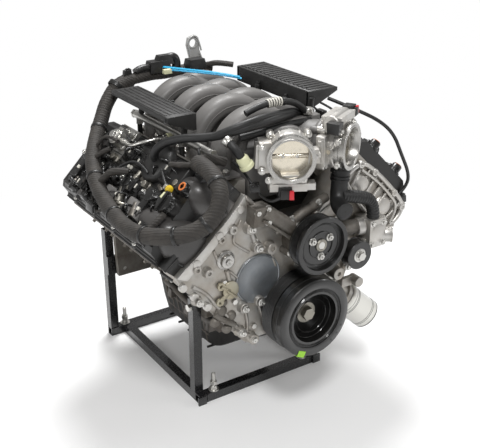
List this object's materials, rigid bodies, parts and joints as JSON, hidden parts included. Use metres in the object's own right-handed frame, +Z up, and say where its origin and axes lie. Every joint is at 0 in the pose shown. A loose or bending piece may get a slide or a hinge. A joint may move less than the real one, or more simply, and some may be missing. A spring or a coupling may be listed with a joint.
{
  "type": "v8 engine",
  "caption": "Complete V8 petrol engine on a low shipping stand, with arched inlet runners, twin throttles, belt pulleys, oil filter and wiring loom.",
  "frame": {"origin": "crankshaft centreline in the plane of the block's rear face, which is the flywheel flange's bolting face", "axes": "+X towards the engine's left bank, +Y to the rear along the crankshaft, +Z up"},
  "size_m": [0.7097, 0.6304, 0.787],
  "materials": {
    "block_aluminium": "cast",
    "cast_aluminium": "cast",
    "machined_aluminium": "satin",
    "cast_iron": "cast",
    "bright_steel": "brushed",
    "dark_steel": "satin",
    "black_plastic": "satin",
    "grey_plastic": "satin",
    "black_paint": "gloss",
    "white_paint": "gloss",
    "dark_rubber": "matt",
    "loom_cover": "corrugated",
    "sheet_steel": "satin"
  },
  "bodies": {
    "engine": {"engine_block": "block_aluminium", "main_bearing_caps": "cast_iron", "seals_and_gaskets": "dark_steel", "timing_chains": "dark_steel", "timing_cover": "cast_aluminium", "cylinder_head_left": "cast_aluminium", "cylinder_head_right": "cast_aluminium", "cam_cover_left": "black_plastic", "cam_cover_right": "black_plastic", "water_pump_body": "cast_aluminium", "oil_pan": "black_paint", "oil_pickup": "dark_steel", "oil_filter": "white_paint", "oil_filter_adapter": "cast_aluminium", "inlet_manifold": "grey_plastic", "throttle_body_left": "machined_aluminium", "throttle_body_right": "machined_aluminium", "throttle_motors": "black_plastic", "trim_cover_left": "black_plastic", "trim_cover_right": "black_plastic", "ignition_coils": "black_plastic", "spark_plugs": "bright_steel", "fuel_rails": "bright_steel", "fuel_injectors": "black_plastic", "fuel_pump": "bright_steel", "cam_solenoids": "black_plastic", "dipstick_tube": "dark_steel", "coolant_elbow": "black_plastic", "thermostat_housing": "cast_aluminium", "lifting_bracket": "sheet_steel", "wiring_loom": "loom_cover", "breather_hoses": "dark_rubber", "stand_rails": "black_paint", "stand_posts": "black_paint", "fasteners": "bright_steel"},
    "crank": {"crankshaft": "dark_steel", "crank_sprocket": "dark_steel", "damper_hub": "dark_steel", "damper_rubber": "dark_rubber", "damper_ring": "dark_steel", "crank_bolt": "bright_steel"},
    "water_pump": {"water_pump_pulley": "black_paint", "water_pump_shaft": "bright_steel"},
    "idler": {"idler_pulley": "dark_steel"},
    "filler_cap": {"oil_filler_cap": "black_plastic"},
    "dipstick_rod": {"dipstick": "bright_steel"},
    "left_throttle": {"throttle_plate_left": "bright_steel"},
    "right_throttle": {"throttle_plate_right": "bright_steel"},
    "inlet_cam_left": {"inlet_camshaft_left": "dark_steel"},
    "exhaust_cam_left": {"exhaust_camshaft_left": "dark_steel"},
    "inlet_cam_right": {"inlet_camshaft_right": "dark_steel"},
    "exhaust_cam_right": {"exhaust_camshaft_right": "dark_steel"},
    "piston_left_1_body": {"piston_left_1": "machined_aluminium"},
    "piston_left_2_body": {"piston_left_2": "machined_aluminium"},
    "piston_left_3_body": {"piston_left_3": "machined_aluminium"},
    "piston_left_4_body": {"piston_left_4": "machined_aluminium"},
    "piston_right_1_body": {"piston_right_1": "machined_aluminium"},
    "piston_right_2_body": {"piston_right_2": "machined_aluminium"},
    "piston_right_3_body": {"piston_right_3": "machined_aluminium"},
    "piston_right_4_body": {"piston_right_4": "machined_aluminium"}
  },
  "joints": [
    {"name": "crank_turn", "type": "hinge", "parent": "engine", "child": "crank", "pos_m": [0, 0, 0], "axis": [0, -1, 0], "continuous": true},
    {"name": "inlet_cam_left_turn", "type": "hinge", "parent": "engine", "child": "inlet_cam_left", "pos_m": [0.17678, 0, 0.24749], "axis": [0, -1, 0], "continuous": true},
    {"name": "exhaust_cam_left_turn", "type": "hinge", "parent": "engine", "child": "exhaust_cam_left", "pos_m": [0.24749, 0, 0.17678], "axis": [0, -1, 0], "continuous": true},
    {"name": "inlet_cam_right_turn", "type": "hinge", "parent": "engine", "child": "inlet_cam_right", "pos_m": [-0.17678, 0, 0.24749], "axis": [0, -1, 0], "continuous": true},
    {"name": "exhaust_cam_right_turn", "type": "hinge", "parent": "engine", "child": "exhaust_cam_right", "pos_m": [-0.24749, 0, 0.17678], "axis": [0, -1, 0], "continuous": true},
    {"name": "pump_turn", "type": "hinge", "parent": "engine", "child": "water_pump", "pos_m": [0.0155, -0.55, 0.168], "axis": [0, -1, 0], "continuous": true},
    {"name": "idler_turn", "type": "hinge", "parent": "engine", "child": "idler", "pos_m": [0.127, -0.56, 0.113], "axis": [0, -1, 0], "continuous": true},
    {"name": "piston_left_1_slide", "type": "slide", "parent": "engine", "child": "piston_left_1_body", "axis": [0.7071, 0, 0.7071], "range_m": [-0.00196, 0.09074]},
    {"name": "piston_left_2_slide", "type": "slide", "parent": "engine", "child": "piston_left_2_body", "axis": [0.7071, 0, 0.7071], "range_m": [-0.02407, 0.06863]},
    {"name": "piston_left_3_slide", "type": "slide", "parent": "engine", "child": "piston_left_3_body", "axis": [0.7071, 0, 0.7071], "range_m": [-0.05577, 0.03693]},
    {"name": "piston_left_4_slide", "type": "slide", "parent": "engine", "child": "piston_left_4_body", "axis": [0.7071, 0, 0.7071], "range_m": [-0.08907, 0.00363]},
    {"name": "piston_right_1_slide", "type": "slide", "parent": "engine", "child": "piston_right_1_body", "axis": [-0.7071, 0, 0.7071], "range_m": [-0.02407, 0.06863]},
    {"name": "piston_right_2_slide", "type": "slide", "parent": "engine", "child": "piston_right_2_body", "axis": [-0.7071, 0, 0.7071], "range_m": [-0.08907, 0.00363]},
    {"name": "piston_right_3_slide", "type": "slide", "parent": "engine", "child": "piston_right_3_body", "axis": [-0.7071, 0, 0.7071], "range_m": [-0.00196, 0.09074]},
    {"name": "piston_right_4_slide", "type": "slide", "parent": "engine", "child": "piston_right_4_body", "axis": [-0.7071, 0, 0.7071], "range_m": [-0.05577, 0.03693]},
    {"name": "right_throttle_turn", "type": "hinge", "parent": "engine", "child": "right_throttle", "pos_m": [-0.03997, -0.53489, 0.365], "axis": [0.8746, -0.4848, 0], "range_deg": [0, 84]},
    {"name": "left_throttle_turn", "type": "hinge", "parent": "engine", "child": "left_throttle", "pos_m": [0.08497, -0.53489, 0.365], "axis": [0.8746, 0.4848, 0], "range_deg": [0, 84]},
    {"name": "filler_cap_turn", "type": "hinge", "parent": "engine", "child": "filler_cap", "pos_m": [-0.28072, -0.461, 0.28779], "axis": [-0.7071, 0, 0.7071], "range_deg": [0, 90]},
    {"name": "dipstick_slide", "type": "slide", "parent": "engine", "child": "dipstick_rod", "axis": [-0.7071, 0, 0.7071], "range_m": [0, 0.15]}
  ],
  "couplings": [
    {"joint": "inlet_cam_left_turn", "follows": "crank_turn", "ratio": 0.5},
    {"joint": "exhaust_cam_left_turn", "follows": "crank_turn", "ratio": 0.5},
    {"joint": "inlet_cam_right_turn", "follows": "crank_turn", "ratio": 0.5},
    {"joint": "exhaust_cam_right_turn", "follows": "crank_turn", "ratio": 0.5},
    {"joint": "left_throttle_turn", "follows": "right_throttle_turn", "ratio": 1}
  ]
}
